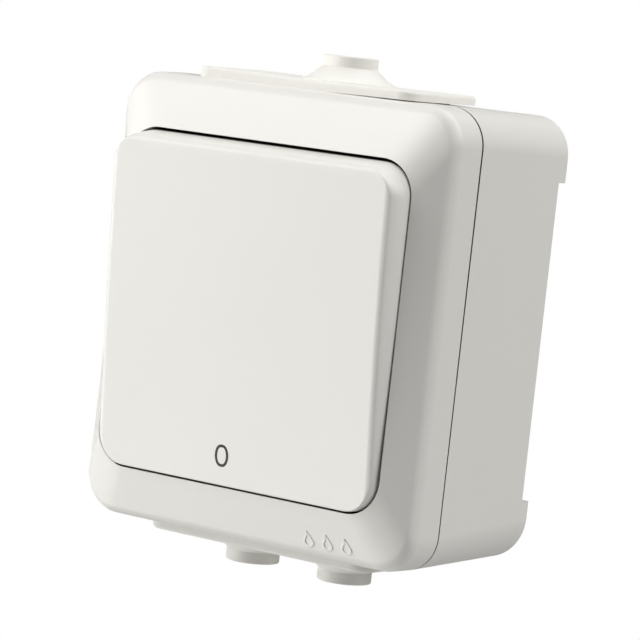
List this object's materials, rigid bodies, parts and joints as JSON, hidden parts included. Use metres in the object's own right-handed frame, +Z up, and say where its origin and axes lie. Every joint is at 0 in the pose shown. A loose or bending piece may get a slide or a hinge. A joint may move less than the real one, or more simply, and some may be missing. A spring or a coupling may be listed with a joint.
{
  "type": "outdoor weatherproof switch",
  "caption": "Surface-mounted outdoor rocker switch: a gasketed plastic box with rubber cable entries, a sloping front cover and a large square rocker.",
  "frame": {"origin": "centre of the back on the wall plane, the middle of the four wall screw slots", "axes": "+X to the right as seen from the front, +Y into the wall (the front faces -Y), +Z up"},
  "size_m": [0.072, 0.045, 0.0924],
  "materials": {
    "white_shell": "fine satin moulding",
    "white_rubber": "soft matt",
    "grey_rubber": "matt",
    "insulator": "matt",
    "dark_insulator": "matt",
    "brass": "bright",
    "copper": "bright",
    "silver_alloy": "bright",
    "zinc_steel": "zinc plated",
    "spring_steel": "drawn wire"
  },
  "bodies": {
    "case": {"base_box": "white_shell", "front_cover": "white_shell", "cover_gasket": "grey_rubber", "rocker_seal": "grey_rubber", "top_cable_entry": "white_rubber", "bottom_cable_entry": "white_rubber", "cover_screws": "zinc_steel", "cover_screw_seals": "grey_rubber", "mechanism_housing": "insulator", "mechanism_lid": "insulator", "mechanism_screws": "zinc_steel", "common_terminal_left": "brass", "common_terminal_right": "brass", "load_terminal_left": "brass", "load_terminal_right": "brass", "terminal_screws": "zinc_steel", "fixed_contacts": "silver_alloy"},
    "rocker": {"rocker": "white_shell"},
    "cradle": {"switch_cradle": "dark_insulator", "plunger_spring_left": "spring_steel", "plunger_spring_right": "spring_steel"},
    "left_plunger": {"plunger_left": "white_shell"},
    "right_plunger": {"plunger_right": "white_shell"},
    "left_lever": {"contact_lever_left": "copper", "moving_contact_left": "silver_alloy"},
    "right_lever": {"contact_lever_right": "copper", "moving_contact_right": "silver_alloy"}
  },
  "joints": [
    {"name": "rocker_pivot", "type": "hinge", "parent": "case", "child": "rocker", "pos_m": [0, -0.0353, 0], "axis": [-1, 0, 0], "range_deg": [0, 8.8]},
    {"name": "cradle_pivot", "type": "hinge", "parent": "case", "child": "cradle", "pos_m": [0, -0.0215, 0], "axis": [-1, 0, 0], "range_deg": [-12.5, 0]},
    {"name": "left_plunger_slide", "type": "slide", "parent": "cradle", "child": "left_plunger", "axis": [0, -0.9941, 0.1088], "range_m": [0, 0.001], "stiffness_N_per_m": 300, "springref_m": -0.002, "deforming": ["plunger_spring_left"]},
    {"name": "right_plunger_slide", "type": "slide", "parent": "cradle", "child": "right_plunger", "axis": [0, -0.9941, 0.1088], "range_m": [0, 0.001], "stiffness_N_per_m": 300, "springref_m": -0.002, "deforming": ["plunger_spring_right"]},
    {"name": "left_lever_pivot", "type": "hinge", "parent": "case", "child": "left_lever", "pos_m": [-0.008, -0.0132, 0], "axis": [-1, 0, 0], "range_deg": [0, 12]},
    {"name": "right_lever_pivot", "type": "hinge", "parent": "case", "child": "right_lever", "pos_m": [0.008, -0.0132, 0], "axis": [-1, 0, 0], "range_deg": [0, 12]}
  ],
  "couplings": [
    {"joint": "cradle_pivot", "follows": "rocker_pivot", "ratio": -1.42},
    {"joint": "left_lever_pivot", "follows": "rocker_pivot", "ratio": 1.36},
    {"joint": "right_lever_pivot", "follows": "rocker_pivot", "ratio": 1.36}
  ]
}
